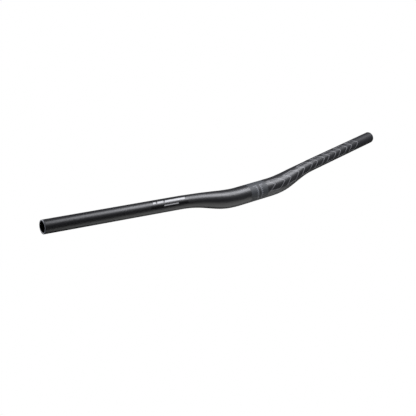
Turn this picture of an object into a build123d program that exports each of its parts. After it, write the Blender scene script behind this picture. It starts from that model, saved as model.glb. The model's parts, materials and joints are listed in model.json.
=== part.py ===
from build123d import *
import os
from math import sqrt

# Riser handlebar: one aluminium tube, swaged, butted and bent, open at both ends.
# The origin is the middle of the clamp zone, +X runs along the clamp axis,
# the front wheel is towards -Y, the rider towards +Y, and +Z is up.
# Lengths are in millimetres and angles in degrees.

# Course of the centreline
bar_width = 800.0  # across the two ends, before their edges are eased
rise = 15.0  # height of the outer corner above the clamp axis
upsweep = 5.0  # climb of the grips towards their ends
backsweep = 9.0  # turn of the grips towards the rider
inner_corner_x = 63.5  # where the clamp axis meets the rising leg
outer_corner_x = 139.0  # where the rising leg meets the grip axis
inner_bend_radius = 250.0
outer_bend_radius = 280.0

# Section of the tube
clamp_diameter = 31.8
grip_diameter = 22.2
clamp_wall = 2.4
grip_wall = 2.1
taper_start = 61.0  # measured along the centreline from the middle
taper_end = 155.0
section_count = 22  # sections that carry the taper through the bends

# Edges of the open ends
outer_edge_radius = 0.6
bore_edge_chamfer = 0.4

# The grip axis is the clamp axis tilted up, then turned back.
grip_axis = Vector(1, 0, 0).rotate(Axis.Y, -upsweep).rotate(Axis.Z, backsweep)
inner_corner = Vector(inner_corner_x, 0, 0)
outer_corner = Vector(outer_corner_x, 0, rise)
end_overhang = grip_diameter / 2 * sqrt(1 - grip_axis.X**2)
end_x = bar_width / 2 - end_overhang
bar_end = outer_corner + grip_axis * ((end_x - outer_corner_x) / grip_axis.X)

with BuildLine() as half_centreline:
    FilletPolyline(
        (0, 0, 0),
        inner_corner,
        outer_corner,
        bar_end,
        radius=[inner_bend_radius, outer_bend_radius],
    )

path = half_centreline.wire()
runs = path.edges().sort_by(Axis.X)
shaped_start = min(runs[0].length, taper_start)
shaped_end = max(path.length - runs[-1].length, taper_end)


def section_plane(station):
    """The plane square to the centreline at a station, with its x axis level."""
    tangent = path.tangent_at(station, PositionMode.LENGTH)
    return Plane(
        origin=path.position_at(station, PositionMode.LENGTH),
        x_dir=Axis.Z.direction.cross(tangent),
        z_dir=tangent,
    )


def swaged(station, clamp_size, grip_size):
    """A size that eases from its clamp value to its grip value along the taper."""
    share = (station - taper_start) / (taper_end - taper_start)
    share = min(max(share, 0), 1)
    return clamp_size + (grip_size - clamp_size) * share**2 * (3 - 2 * share)


def tube_section(station):
    """The ring of wall at a station, drawn in the sketch that is open."""
    outer_radius = swaged(station, clamp_diameter, grip_diameter) / 2
    Circle(outer_radius)
    Circle(outer_radius - swaged(station, clamp_wall, grip_wall), mode=Mode.SUBTRACT)


with BuildPart() as handlebar:
    # Taper and both bends of the side towards +X
    for index in range(section_count):
        station = shaped_start + (shaped_end - shaped_start) * index / (section_count - 1)
        with BuildSketch(section_plane(station)):
            tube_section(station)
    loft()

    # Straight grip, out to the open end
    with BuildSketch(section_plane(shaped_end)):
        tube_section(shaped_end)
    extrude(amount=path.length - shaped_end)

    # The cut end, eased outside and deburred inside
    end_face = handlebar.faces().filter_by(GeomType.PLANE).sort_by(Axis.X)[-1]
    bore_edge, outer_edge = end_face.edges().sort_by(SortBy.RADIUS)
    fillet(outer_edge, outer_edge_radius)
    chamfer(bore_edge, bore_edge_chamfer)

    # The other side is its mirror image
    mirror(about=Plane.YZ)

    # Straight clamp zone, which joins the two sides
    with BuildSketch(section_plane(0)):
        tube_section(0)
    extrude(amount=shaped_start, both=True)

os.makedirs("parts", exist_ok=True)
handlebar.part.label = "handlebar"
export_step(handlebar.part, "parts/handlebar.step")
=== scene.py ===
import json
import math

import bpy
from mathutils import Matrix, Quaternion, Vector


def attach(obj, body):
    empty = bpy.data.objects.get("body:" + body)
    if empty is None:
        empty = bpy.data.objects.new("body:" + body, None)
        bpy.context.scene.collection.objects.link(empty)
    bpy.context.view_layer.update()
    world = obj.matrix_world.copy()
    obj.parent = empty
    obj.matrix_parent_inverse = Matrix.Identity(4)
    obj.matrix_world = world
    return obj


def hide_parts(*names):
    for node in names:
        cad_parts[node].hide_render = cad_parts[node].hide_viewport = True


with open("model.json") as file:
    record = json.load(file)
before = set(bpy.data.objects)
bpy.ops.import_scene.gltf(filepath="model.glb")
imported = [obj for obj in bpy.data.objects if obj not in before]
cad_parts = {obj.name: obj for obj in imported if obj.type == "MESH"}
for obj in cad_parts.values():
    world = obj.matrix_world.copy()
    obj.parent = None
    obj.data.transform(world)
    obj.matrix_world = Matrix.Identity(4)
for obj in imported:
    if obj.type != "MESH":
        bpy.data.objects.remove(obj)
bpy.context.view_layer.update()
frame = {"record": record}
mm = 0.001
mounts = {mount["name"]: mount for mount in frame["record"]["mounts"]}
print("frame loaded, mounts:", ", ".join(mounts))


# sizes and course of the bar
# +X is the rider's left, -Y the front wheel, +Z up, and the origin is the middle of the clamp zone

bar = {
    "piece": "handlebar_tube",
    "innerCorner": 63.5 * mm,  # where the clamp axis meets the rising leg
    "taperStart": 61 * mm,  # along the centreline, from the middle
    "taperEnd": 155 * mm,
    "clampWall": 2.4 * mm,
    "endRounding": 0.6 * mm,
    "boreChamfer": 0.4 * mm,
    "around": 96,  # vertices in a ring
    "skinStep": 2.5 * mm,  # from ring to ring outside
    "boreStep": 8 * mm,  # and inside
    "roundingSteps": 6,
    "sharpAngle": 30,  # degrees
    "chart": "barChart",  # the skin unrolled, in metres: along the bar, and round it from the front
}


def mountSizes(name):
    mount = mounts[name]
    return {
        "middle": Vector(mount["pos_m"]),
        "axis": Vector(mount["axis"]).normalized(),
        "radius": mount["dims"]["r_mm"] * mm,
        "length": mount["dims"]["length_mm"] * mm,
    }


clamp = mountSizes("stem_clamp")
grip = mountSizes("left_grip")
bore = mountSizes("left_end_bore")


def straightRun(start, end):
    heading = (end - start).normalized()
    return (end - start).length, lambda way: (start + heading * way, heading)


def bentRun(corner, before, after, reach):
    # an arc that leaves the corner by the same reach on both sides
    turn = before.angle(after)
    radius = reach / math.tan(turn / 2)
    hinge = before.cross(after).normalized()
    start = corner - before * reach
    centre = start + hinge.cross(before) * radius

    def along(way):
        swing = Quaternion(hinge, way / radius)
        return centre + swing @ (start - centre), swing @ before

    return radius * turn, along


def halfCourse():
    clampAxis = clamp["axis"]
    clampEnd = clamp["middle"] + clampAxis * clamp["length"] / 2
    innerCorner = clamp["middle"] + clampAxis * bar["innerCorner"]
    gripRun = grip["axis"] * (grip["length"] + bar["endRounding"])
    gripStart = grip["middle"] - gripRun / 2
    barEnd = grip["middle"] + gripRun / 2
    # the rising leg keeps in the upright plane of the clamp axis, so the outer corner does too
    outerCorner = gripStart - grip["axis"] * (gripStart.y / grip["axis"].y)
    rising = (outerCorner - innerCorner).normalized()
    innerReach = (innerCorner - clampEnd).length
    outerReach = (gripStart - outerCorner).length
    return [
        straightRun(clamp["middle"], clampEnd),
        bentRun(innerCorner, clampAxis, rising, innerReach),
        straightRun(innerCorner + rising * innerReach, outerCorner - rising * outerReach),
        bentRun(outerCorner, rising, grip["axis"], outerReach),
        straightRun(gripStart, barEnd),
    ]


course = halfCourse()
halfLength = sum(length for length, along in course)
print("centreline: %.1f mm each side of the middle" % (halfLength / mm))


def placeOn(station):
    way = station
    for length, along in course[:-1]:
        if way <= length:
            return along(way)
        way -= length
    gripLength, alongGrip = course[-1]
    return alongGrip(min(way, gripLength))


def swaged(station, atClamp, atGrip):
    # the taper eases in and out
    share = (station - bar["taperStart"]) / (bar["taperEnd"] - bar["taperStart"])
    share = min(max(share, 0), 1)
    return atClamp + (atGrip - atClamp) * share * share * (3 - 2 * share)


def skinRadius(station):
    return swaged(station, clamp["radius"], grip["radius"])


def boreRadius(station):
    return swaged(station, clamp["radius"] - bar["clampWall"], bore["radius"])


# the bar's mesh: rings from the middle out along the skin, round the cut end and back through the bore

def evenSteps(first, last, step):
    count = math.ceil(abs(last - first) / step)
    return [first + (last - first) * index / count for index in range(count + 1)]


def halfRings():
    # each ring has its station, its radius and the finish of the strip that follows it
    rounding = bar["endRounding"]
    chamfer = bar["boreChamfer"]
    rings = []
    for station in evenSteps(0, halfLength - rounding, bar["skinStep"])[:-1]:
        rings.append((station, skinRadius(station), "skin"))
    for step in range(bar["roundingSteps"] + 1):
        angle = math.pi / 2 * step / bar["roundingSteps"]
        station = halfLength - rounding * (1 - math.sin(angle))
        rings.append((station, grip["radius"] - rounding * (1 - math.cos(angle)), "cutEnd"))
    rings.append((halfLength, bore["radius"] + chamfer, "cutEnd"))
    for station in evenSteps(halfLength - chamfer, 0, bar["boreStep"]):
        rings.append((station, boreRadius(station), "bore"))
    return rings


def ringAngle(step):
    # 0 faces the front wheel, and the seam is at the back
    return math.pi * (2 * step / bar["around"] - 1)


def ringPoints(station, radius, side):
    centre, heading = placeOn(station)
    back = Vector((0, 0, 1)).cross(heading).normalized()
    up = heading.cross(back)
    points = []
    for step in range(bar["around"]):
        angle = ringAngle(step)
        point = centre + (up * math.sin(angle) - back * math.cos(angle)) * radius
        points.append((point.x * side, point.y, point.z))
    return points


def makeBar(finishes):
    rings = halfRings()
    last = len(rings) - 1
    around = bar["around"]
    vertices = []
    for station, radius, finish in rings:
        vertices += ringPoints(station, radius, 1)
    for station, radius, finish in rings[1:last]:
        vertices += ringPoints(station, radius, -1)

    def ringStart(side, number):
        # both sides share the first and the last ring
        shared = side > 0 or number in (0, last)
        return around * (number if shared else last + number)

    faces = []
    chart = []
    slots = []
    finishNames = list(finishes)
    for side in (1, -1):
        for number in range(last):
            finish = rings[number][2]
            for step in range(around):
                quad = [(number, step), (number + 1, step), (number + 1, step + 1), (number, step + 1)]
                if side < 0:
                    quad.reverse()
                for ring, turn in quad:
                    station, radius = rings[ring][:2]
                    # on a cut end the chart runs outward instead of along the bar
                    lengthwise = radius if finish == "cutEnd" else station * side
                    chart += [lengthwise, ringAngle(turn) * radius]
                faces.append([ringStart(side, ring) + turn % around for ring, turn in quad])
                slots.append(finishNames.index(finish))

    mesh = bpy.data.meshes.new(bar["piece"])
    mesh.from_pydata(vertices, [], faces)
    for name in finishNames:
        mesh.materials.append(finishes[name])
    mesh.polygons.foreach_set("material_index", slots)
    layer = mesh.uv_layers.new(name=bar["chart"])
    layer.data.foreach_set("uv", chart)
    mesh.shade_smooth()
    mesh.set_sharp_from_angle(angle=math.radians(bar["sharpAngle"]))
    mesh.validate()
    piece = bpy.data.objects.new(bar["piece"], mesh)
    bpy.context.scene.collection.objects.link(piece)
    return piece


# small helpers for node trees

noiseSpan = (0.3, 0.7)  # where most of a noise's values lie

# the sockets of a mix node go by number, because their names repeat
mixSockets = {
    "FLOAT": {"inputs": (0, 2, 3), "output": 0},
    "RGBA": {"inputs": (0, 6, 7), "output": 2},
}


def newMaterial(name):
    material = bpy.data.materials.new(name)
    material.use_nodes = True
    return material, material.node_tree.nodes["Principled BSDF"]


def feed(tree, value, socket):
    if isinstance(value, bpy.types.NodeSocket):
        tree.links.new(value, socket)
    else:
        socket.default_value = value


def calc(tree, operation, *values):
    node = tree.nodes.new("ShaderNodeMath")
    node.operation = operation
    for value, socket in zip(values, node.inputs):
        feed(tree, value, socket)
    return node.outputs["Value"]


def ramp(tree, value, low, high, atLow, atHigh):
    node = tree.nodes.new("ShaderNodeMapRange")
    node.interpolation_type = "SMOOTHSTEP"
    settings = {"Value": value, "From Min": low, "From Max": high, "To Min": atLow, "To Max": atHigh}
    for name, setting in settings.items():
        feed(tree, setting, node.inputs[name])
    return node.outputs["Result"]


def below(tree, value, limit, soft):
    return ramp(tree, value, limit - soft / 2, limit + soft / 2, 1, 0)


def distance(tree, value, middle):
    return calc(tree, "ABSOLUTE", calc(tree, "SUBTRACT", value, middle))


def stretch(tree, value, low, high, soft):
    # 1 between low and high
    return below(tree, distance(tree, value, (low + high) / 2), (high - low) / 2, soft)


def offMiddle(tree, value, low, pitch):
    # how far a spot is from the middle of its own pitch, where a shape repeats
    share = calc(tree, "FRACT", calc(tree, "DIVIDE", calc(tree, "SUBTRACT", value, low), pitch))
    return calc(tree, "MULTIPLY", distance(tree, share, 0.5), pitch)


def mix(tree, kind, share, first, second):
    node = tree.nodes.new("ShaderNodeMix")
    node.data_type = kind
    sockets = mixSockets[kind]
    for value, number in zip((share, first, second), sockets["inputs"]):
        feed(tree, value, node.inputs[number])
    return node.outputs[sockets["output"]]


def mixShaders(tree, share, first, second):
    node = tree.nodes.new("ShaderNodeMixShader")
    for value, socket in zip((share, first, second), node.inputs):
        feed(tree, value, socket)
    return node.outputs["Shader"]


def noise(tree, place, setting):
    node = tree.nodes.new("ShaderNodeTexNoise")
    feed(tree, place, node.inputs["Vector"])
    feed(tree, setting["scale"], node.inputs["Scale"])
    feed(tree, setting["detail"], node.inputs["Detail"])
    return node.outputs["Fac"]


def wander(tree, place, setting):
    # a number that drifts about its middle from place to place
    middle = setting["middle"]
    half = setting["drift"] / 2
    return ramp(tree, noise(tree, place, setting), *noiseSpan, middle - half, middle + half)


def drawnLines(tree, chart, setting):
    # drawing marks run along the tube, so the noise is much finer round it
    node = tree.nodes.new("ShaderNodeMapping")
    feed(tree, chart, node.inputs["Vector"])
    feed(tree, setting["stretch"], node.inputs["Scale"])
    return noise(tree, node.outputs["Vector"], setting)


def bump(tree, height, depth, normal=None):
    node = tree.nodes.new("ShaderNodeBump")
    feed(tree, depth, node.inputs["Distance"])
    feed(tree, height, node.inputs["Height"])
    if normal:
        feed(tree, normal, node.inputs["Normal"])
    return node.outputs["Normal"]


def barChart(tree):
    node = tree.nodes.new("ShaderNodeUVMap")
    node.uv_map = bar["chart"]
    return node.outputs["UV"]


def partsOf(tree, place):
    node = tree.nodes.new("ShaderNodeSeparateXYZ")
    feed(tree, place, node.inputs["Vector"])
    return node.outputs


def placeInSpace(tree):
    return tree.nodes.new("ShaderNodeTexCoord").outputs["Object"]


# the skin: satin black anodising, with the clamp band, a black field and two plain decorations
# low and high lie along the bar from its middle, bottom and top round it from the front

satin = {
    "deep": (0.0212, 0.0213, 0.0233, 1),
    "pale": (0.0274, 0.0276, 0.0301, 1),
    "tone": {"scale": 45, "detail": 3},
    "ior": 1.66,
    "roughness": {"middle": 0.405, "drift": 0.05, "scale": 18, "detail": 2},
    "blast": {"scale": 3600, "detail": 1, "depth": 0.009 * mm},  # scale in grains to the metre
    "drawn": {"stretch": (4, 900, 1), "scale": 1, "detail": 1, "depth": 0.004 * mm},
}

clampBand = {
    "low": -19.5 * mm,
    "high": 21.5 * mm,
    "grey": (0.048, 0.053, 0.059, 1),
    "roughness": 0.62,
    "lines": (-2.5 * mm, 5.5 * mm),
    "lineWidth": 1.0 * mm,
    "lineGrey": (0.25, 0.26, 0.28, 1),
    "ticks": 11,
    "tickPitch": 3.4 * mm,
    "tickLength": 3.2 * mm,
    "endTickLength": 8 * mm,
    "tickWidth": 1.3 * mm,
    "scaleTop": 10.3 * mm,  # round from the front
    "stripInset": 1.5 * mm,
    "stripGrey": (0.022, 0.024, 0.027, 1),
    "edge": 0.08 * mm,
}

blackField = {
    "low": -223.5 * mm,
    "high": -154.5 * mm,
    "bottom": -4.2 * mm,
    "top": 10.2 * mm,
    "black": (0.006, 0.006, 0.007, 1),
    "roughness": 0.37,
    "edge": 0.1 * mm,
}

# white stripes with slanted ends on the black field
stripes = {
    "slant": 0.5,
    "white": (0.70, 0.70, 0.70, 1),
    "edge": 0.1 * mm,
    "blocks": (
        {"low": -221 * mm, "high": -216 * mm, "bottom": 4.3 * mm, "top": 7.9 * mm},
        {"low": -213 * mm, "high": -202 * mm, "bottom": 4.3 * mm, "top": 7.9 * mm},
        {"low": -199 * mm, "high": -162 * mm, "bottom": 4.3 * mm, "top": 7.9 * mm},
        {"low": -199 * mm, "high": -172 * mm, "bottom": -1.7 * mm, "top": 0.2 * mm},
    ),
}

# a row of chevrons in thin outline on the other side, which point to the end of the bar
chevrons = {
    "low": 32 * mm,
    "count": 7,
    "pitch": 45 * mm,
    "length": 26 * mm,
    "middle": 2.5 * mm,
    "halfHeight": 10 * mm,
    "slope": 1.5,
    "lineWidth": 1.1 * mm,
    "lineGrey": (0.26, 0.26, 0.27, 1),
    "roughness": 0.42,
    "edge": 0.1 * mm,
}


def clampMarks(tree, along, girth):
    size = clampBand
    edge = size["edge"]
    band = stretch(tree, along, size["low"], size["high"], edge)

    # a scale between two end ticks, from the upper front to under the bar
    halfTick = size["tickWidth"] / 2
    topTick = size["scaleTop"] - halfTick
    halfScale = (size["ticks"] - 1) * size["tickPitch"] / 2
    fromMiddle = distance(tree, girth, topTick - halfScale)
    onScale = below(tree, fromMiddle, halfScale + halfTick, edge)
    onEndTick = calc(tree, "SUBTRACT", 1, below(tree, fromMiddle, halfScale - halfTick, edge))
    fromTick = offMiddle(tree, girth, topTick - size["tickPitch"] / 2, size["tickPitch"])
    onTick = below(tree, fromTick, halfTick, edge)

    marks = 0
    for line, outward in zip(size["lines"], (-1, 1)):
        onLine = below(tree, distance(tree, along, line), size["lineWidth"] / 2, edge)
        marks = calc(tree, "MAXIMUM", marks, onLine)
        for onRow, length in ((onTick, size["tickLength"]), (onEndTick, size["endTickLength"])):
            reach = sorted((line, line + outward * length))
            tick = calc(tree, "MULTIPLY", onRow, stretch(tree, along, *reach, edge))
            marks = calc(tree, "MAXIMUM", marks, tick)
    left, right = size["lines"]
    strip = stretch(tree, along, left + size["stripInset"], right - size["stripInset"], edge)
    return band, calc(tree, "MULTIPLY", strip, onScale), calc(tree, "MULTIPLY", marks, onScale)


def fieldShape(tree, along, girth):
    size = blackField
    onLength = stretch(tree, along, size["low"], size["high"], size["edge"])
    onGirth = stretch(tree, girth, size["bottom"], size["top"], size["edge"])
    return calc(tree, "MULTIPLY", onLength, onGirth)


def stripeMarks(tree, along, girth):
    edge = stripes["edge"]
    lean = calc(tree, "MULTIPLY_ADD", girth, -stripes["slant"], along)
    marks = 0
    for block in stripes["blocks"]:
        onBlock = stretch(tree, lean, block["low"], block["high"], edge)
        onRow = stretch(tree, girth, block["bottom"], block["top"], edge)
        marks = calc(tree, "MAXIMUM", marks, calc(tree, "MULTIPLY", onBlock, onRow))
    return marks


def chevronLines(tree, along, girth):
    size = chevrons
    offRow = distance(tree, girth, size["middle"])
    lean = calc(tree, "MULTIPLY_ADD", offRow, size["slope"], along)
    offBar = offMiddle(tree, lean, size["low"], size["pitch"])
    squareOn = math.cos(math.atan(size["slope"]))
    pastBar = calc(tree, "MULTIPLY", calc(tree, "SUBTRACT", offBar, size["length"] / 2), squareOn)
    pastTip = calc(tree, "SUBTRACT", offRow, size["halfHeight"])
    fromEdge = calc(tree, "ABSOLUTE", calc(tree, "MAXIMUM", pastBar, pastTip))
    onLine = below(tree, fromEdge, size["lineWidth"] / 2, size["edge"])
    inRow = stretch(tree, lean, size["low"], size["low"] + size["count"] * size["pitch"], size["edge"])
    return calc(tree, "MULTIPLY", onLine, inRow)


def makeSatinSkin():
    material, shader = newMaterial("satin_black_anodising")
    tree = material.node_tree
    place = placeInSpace(tree)
    chart = barChart(tree)
    spot = partsOf(tree, chart)
    along = spot["X"]
    girth = spot["Y"]
    band, strip, marks = clampMarks(tree, along, girth)
    field = fieldShape(tree, along, girth)
    white = stripeMarks(tree, along, girth)
    outline = chevronLines(tree, along, girth)

    colour = mix(tree, "RGBA", noise(tree, place, satin["tone"]), satin["deep"], satin["pale"])
    coats = (
        (band, clampBand["grey"]),
        (strip, clampBand["stripGrey"]),
        (marks, clampBand["lineGrey"]),
        (field, blackField["black"]),
        (white, stripes["white"]),
        (outline, chevrons["lineGrey"]),
    )
    for cover, paint in coats:
        colour = mix(tree, "RGBA", cover, colour, paint)
    feed(tree, colour, shader.inputs["Base Color"])

    roughness = wander(tree, place, satin["roughness"])
    for cover, coat in ((band, clampBand), (field, blackField), (outline, chevrons)):
        roughness = mix(tree, "FLOAT", cover, roughness, coat["roughness"])
    feed(tree, roughness, shader.inputs["Roughness"])
    shader.inputs["IOR"].default_value = satin["ior"]

    lines = drawnLines(tree, chart, satin["drawn"])
    normal = bump(tree, lines, satin["drawn"]["depth"])
    grains = noise(tree, place, satin["blast"])
    normal = bump(tree, grains, satin["blast"]["depth"], normal)
    feed(tree, normal, shader.inputs["Normal"])
    return material


# the cut ends: turned and eased, and coloured paler than the skin as a painted highlight, standing in for
# the light their edge catches

cutEndPaintedHighlight = {
    "deep": (0.33, 0.345, 0.38, 1),
    "pale": (0.43, 0.45, 0.49, 1),
    "tone": {"scale": 300, "detail": 2},
    "ior": 1.7,
    "roughness": 0.34,
    "toolPitch": 0.18 * mm,
    "toolDepth": 0.004 * mm,
}


def makeCutEndPaintedHighlight():
    material, shader = newMaterial("cut_end_painted_highlight")
    tree = material.node_tree
    tone = noise(tree, placeInSpace(tree), cutEndPaintedHighlight["tone"])
    # the pale tones are a painted highlight on the cut end, not its own colour
    colour = mix(tree, "RGBA", tone, cutEndPaintedHighlight["deep"], cutEndPaintedHighlight["pale"])
    feed(tree, colour, shader.inputs["Base Color"])
    shader.inputs["Roughness"].default_value = cutEndPaintedHighlight["roughness"]
    shader.inputs["IOR"].default_value = cutEndPaintedHighlight["ior"]
    outward = partsOf(tree, barChart(tree))["X"]
    turns = calc(tree, "SINE", calc(tree, "MULTIPLY", outward, 2 * math.pi / cutEndPaintedHighlight["toolPitch"]))
    feed(tree, bump(tree, turns, cutEndPaintedHighlight["toolDepth"]), shader.inputs["Normal"])
    return material


# the bore: the same anodising over a drawn wall, duller than outside

drawnBore = {
    "deep": (0.004, 0.004, 0.005, 1),
    "pale": (0.010, 0.010, 0.011, 1),
    "drawn": {"stretch": (6, 1400, 1), "scale": 1, "detail": 2, "depth": 0.01 * mm},
    "roughness": {"middle": 0.5, "drift": 0.12, "scale": 60, "detail": 2},
}


def makeDrawnBore():
    material, shader = newMaterial("drawn_bore")
    tree = material.node_tree
    lines = drawnLines(tree, barChart(tree), drawnBore["drawn"])
    colour = mix(tree, "RGBA", lines, drawnBore["deep"], drawnBore["pale"])
    feed(tree, colour, shader.inputs["Base Color"])
    roughness = wander(tree, placeInSpace(tree), drawnBore["roughness"])
    feed(tree, roughness, shader.inputs["Roughness"])
    feed(tree, bump(tree, lines, drawnBore["drawn"]["depth"]), shader.inputs["Normal"])
    return material


finishes = {"skin": makeSatinSkin(), "cutEnd": makeCutEndPaintedHighlight(), "bore": makeDrawnBore()}
print("finishes made:", ", ".join(finishes))

handlebar = makeBar(finishes)
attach(handlebar, "root")
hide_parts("handlebar")
print("bar made:", len(handlebar.data.vertices), "vertices")


# the stage, in metres: a pale round floor well below the bar, and a dark surround that the lens doesn't see

paleFloor = {
    "height": -0.75,
    "radius": 1.5,
    "colour": (0.86, 0.86, 0.86, 1),
    "roughness": 0.9,
    "shadowDepth": 0.4,  # how much of the shading shows in the middle
    "fadeStart": 0.40,  # from here out the floor turns into the white backdrop
    "fadeEnd": 0.80,
    "segments": 96,
}

# black flags all round, which leave the part of the floor clear that the bar mirrors
surround = {
    "opening": {"middle": (0.515, -0.113, -0.74), "halfWidth": 0.768, "halfDepth": 0.492},
    "wallRadius": 1.9,
    "wallHeights": (-0.5, 4.2),
    "black": (0.012, 0.012, 0.012, 1),
    "roughness": 0.9,
    "shine": 0,
    "segments": 64,
}


def seen(tree):
    return tree.nodes.new("ShaderNodeLightPath").outputs["Is Camera Ray"]


def mirrored(tree):
    # what gloss and glass show of the backdrop
    light = tree.nodes.new("ShaderNodeLightPath")
    return calc(tree, "MAXIMUM", light.outputs["Is Glossy Ray"], light.outputs["Is Transmission Ray"])


def stageObject(name, vertices, faces, material):
    mesh = bpy.data.meshes.new(name)
    mesh.from_pydata(vertices, [], faces)
    mesh.materials.append(material)
    thing = bpy.data.objects.new(name, mesh)
    bpy.context.scene.collection.objects.link(thing)
    return thing


def oval(middle, halfWidth, halfDepth, segments):
    across, deep, height = middle
    points = []
    for step in range(segments):
        turn = 2 * math.pi * step / segments
        points.append((across + halfWidth * math.cos(turn), deep + halfDepth * math.sin(turn), height))
    return points


def makeFloor():
    material, shader = newMaterial("pale_floor")
    tree = material.node_tree
    shader.inputs["Base Color"].default_value = paleFloor["colour"]
    shader.inputs["Roughness"].default_value = paleFloor["roughness"]
    white = tree.nodes.new("ShaderNodeEmission")
    fromMiddle = tree.nodes.new("ShaderNodeVectorMath")
    fromMiddle.operation = "LENGTH"
    feed(tree, placeInSpace(tree), fromMiddle.inputs["Vector"])
    reach = (paleFloor["fadeStart"], paleFloor["fadeEnd"])
    fade = ramp(tree, fromMiddle.outputs["Value"], *reach, 1 - paleFloor["shadowDepth"], 1)
    showsWhite = calc(tree, "MAXIMUM", calc(tree, "MULTIPLY", fade, seen(tree)), mirrored(tree))
    blend = mixShaders(tree, showsWhite, shader.outputs["BSDF"], white.outputs["Emission"])
    feed(tree, blend, tree.nodes["Material Output"].inputs["Surface"])
    material.cycles.emission_sampling = "NONE"
    rim = oval((0, 0, 0), paleFloor["radius"], paleFloor["radius"], paleFloor["segments"])
    floor = stageObject("floor", rim, [range(len(rim))], material)
    floor.location.z = paleFloor["height"]


def makeSurround():
    material, shader = newMaterial("black_flag")
    shader.inputs["Base Color"].default_value = surround["black"]
    shader.inputs["Roughness"].default_value = surround["roughness"]
    shader.inputs["Specular IOR Level"].default_value = surround["shine"]
    count = surround["segments"]
    opening = surround["opening"]
    rings = [oval(opening["middle"], opening["halfWidth"], opening["halfDepth"], count)]
    for height in surround["wallHeights"]:
        rings.append(oval((0, 0, height), surround["wallRadius"], surround["wallRadius"], count))
    vertices = [point for ring in rings for point in ring]
    faces = []
    for level in range(len(rings) - 1):
        for step in range(count):
            here = level * count + step
            there = level * count + (step + 1) % count
            faces.append((here, there, there + count, here + count))
    faces.append(range(len(vertices) - count, len(vertices)))
    flags = stageObject("dark_surround", vertices, faces, material)
    flags.visible_camera = False
    flags.visible_shadow = False


makeFloor()
makeSurround()
print("stage set")


# light: a softbox over the front, and a dimmer one over the back
# turn and tilt, in degrees, say which way the light comes from: round from the front, and up from level

lamps = {
    "front_softbox": {
        "spot": (0.746, -0.694, 0.80),
        "turn": 5,
        "tilt": 47,
        "size": (1.275, 0.72),
        "watts": 24.2,
    },
    "back_softbox": {
        "spot": (-0.746, 0.694, 0.80),
        "turn": 185,
        "tilt": 47,
        "size": (1.275, 0.72),
        "watts": 14.4,
    },
}

lampColour = (0.935, 0.947, 1.0)

backdrop = {
    "white": (1, 1, 1, 1),
    "fill": 0.35,  # how brightly it lights what doesn't mirror it
}


def fromOrigin(azimuth, elevation):
    turn = math.radians(azimuth)
    tilt = math.radians(elevation)
    return Vector((math.sin(turn) * math.cos(tilt), -math.cos(turn) * math.cos(tilt), math.sin(tilt)))


def makeLamp(name, setting):
    lamp = bpy.data.lights.new(name, "AREA")
    lamp.shape = "RECTANGLE"
    lamp.size, lamp.size_y = setting["size"]
    lamp.energy = setting["watts"]
    lamp.color = lampColour
    stand = bpy.data.objects.new(name, lamp)
    stand.location = setting["spot"]
    facing = fromOrigin(setting["turn"], setting["tilt"]).to_track_quat("Z", "Y")
    stand.rotation_euler = facing.to_euler()
    stand.visible_camera = False
    bpy.context.scene.collection.objects.link(stand)


def makeBackdrop():
    world = bpy.data.worlds.new("white_backdrop")
    world.use_nodes = True
    tree = world.node_tree
    dim = tree.nodes["Background"]
    dim.inputs["Color"].default_value = backdrop["white"]
    dim.inputs["Strength"].default_value = backdrop["fill"]
    white = tree.nodes.new("ShaderNodeBackground")
    white.inputs["Color"].default_value = backdrop["white"]
    showsWhite = calc(tree, "MAXIMUM", seen(tree), mirrored(tree))
    blend = mixShaders(tree, showsWhite, dim.outputs["Background"], white.outputs["Background"])
    feed(tree, blend, tree.nodes["World Output"].inputs["Surface"])
    world.cycles.sampling_method = "NONE"
    bpy.context.scene.world = world


for name, setting in lamps.items():
    makeLamp(name, setting)
makeBackdrop()
print("lights set:", ", ".join(lamps))


# camera: low at the front right of the bar, rolled so that the bar climbs across the picture

photoView = {
    "azimuth": -44.5186,  # degrees from the front, minus is towards the bar's right end
    "elevation": 1.0515,
    "distance": 1.61,
    "aim": (-0.06184, 0.05469, -0.00582),
    "roll": -15.63,
    "lens": 80.83,
    "sensor": 36,
}


def makeCamera():
    lens = bpy.data.cameras.new("photo_view")
    lens.lens = photoView["lens"]
    lens.sensor_width = photoView["sensor"]
    camera = bpy.data.objects.new("photo_view", lens)
    camera.location = fromOrigin(photoView["azimuth"], photoView["elevation"]) * photoView["distance"]
    facing = (Vector(photoView["aim"]) - camera.location).to_track_quat("-Z", "Y")
    camera.rotation_mode = "QUATERNION"
    camera.rotation_quaternion = facing @ Quaternion((0, 0, 1), math.radians(photoView["roll"]))
    bpy.context.scene.collection.objects.link(camera)
    bpy.context.scene.camera = camera


makeCamera()
bpy.context.scene.view_settings.view_transform = "Standard"
print("camera set")
